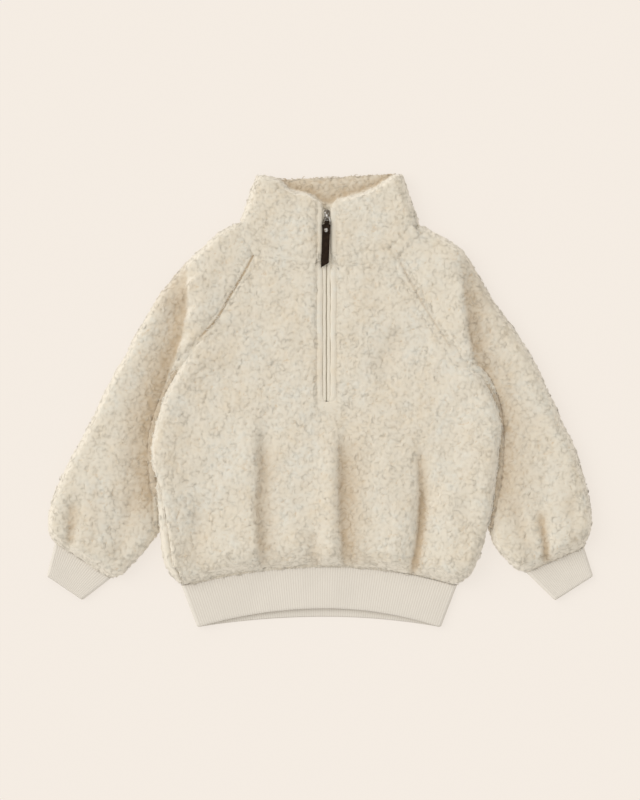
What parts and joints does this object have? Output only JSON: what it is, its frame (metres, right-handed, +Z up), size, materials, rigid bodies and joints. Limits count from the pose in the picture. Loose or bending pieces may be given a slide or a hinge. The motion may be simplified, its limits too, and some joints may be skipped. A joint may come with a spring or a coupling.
{
  "type": "half-zip fleece pullover",
  "caption": "Child's half-zip pullover in cream long-pile fleece, raglan sleeves, stand collar, rib cuffs and hem, laid flat on its back",
  "frame": {"origin": "centre of the garment's bounding box, on the surface that it lies on", "axes": "+Z up, away from the surface; +Y from the hem to the collar; +X towards the wearer's left, which is right in the picture"},
  "size_m": [0.602, 0.498, 0.0286],
  "materials": {
    "fleece": "cream long-pile fleece, curled and matt",
    "rib": "fine rib knit, cream, matt",
    "zip_tape": "woven polyester tape, cream",
    "zip_coil": "nylon coil, cream",
    "nickel": "nickel plated, polished",
    "leather": "dark brown smooth leather"
  },
  "bodies": {
    "garment": {"front": "fleece", "back": "fleece", "sleeve_right": "fleece", "sleeve_left": "fleece", "collar": "fleece", "cuff_right": "rib", "cuff_left": "rib", "hem_band": "rib", "zip_tape_right": "zip_tape", "zip_tape_left": "zip_tape", "zip_coil": "zip_coil", "slider": "nickel"},
    "link": {"pull_link": "nickel"},
    "strap": {"pull_strap": "leather", "pull_rivet": "nickel"}
  },
  "joints": [
    {"name": "link_swing", "type": "hinge", "parent": "garment", "child": "link", "pos_m": [0.0075, 0.2013, 0.0196], "axis": [-1, 0, 0], "range_deg": [0, 120]},
    {"name": "strap_swing", "type": "hinge", "parent": "link", "child": "strap", "pos_m": [0.0075, 0.1948, 0.0213], "axis": [-1, 0, 0], "range_deg": [0, 60]}
  ]
}
